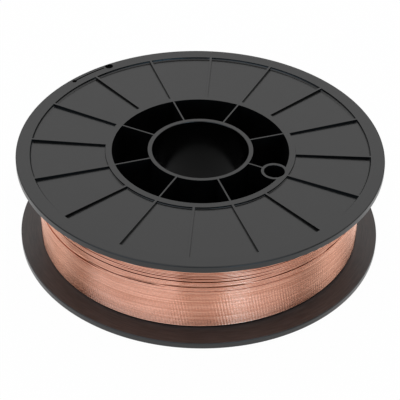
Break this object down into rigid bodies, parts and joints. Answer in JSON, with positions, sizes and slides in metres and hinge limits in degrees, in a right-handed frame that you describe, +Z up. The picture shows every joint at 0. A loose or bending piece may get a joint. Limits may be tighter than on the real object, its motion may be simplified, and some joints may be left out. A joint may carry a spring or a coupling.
{
  "type": "mig welding wire spool",
  "caption": "One-piece ribbed black plastic spool wound with copper-coated steel welding wire, with a central bore and an offset drive hole.",
  "frame": {"origin": "middle of the underside of the lower flange, on the spool axis", "axes": "+Z up along the spool axis, +X from the axis towards the drive hole"},
  "size_m": [0.2, 0.2, 0.055],
  "materials": {
    "black_plastic": "satin moulded, very slightly grey",
    "coppered_wire": "bright drawn steel wire with a thin copper coating"
  },
  "bodies": {
    "root": {"spool": "black_plastic", "wire_winding": "coppered_wire"}
  },
  "joints": []
}
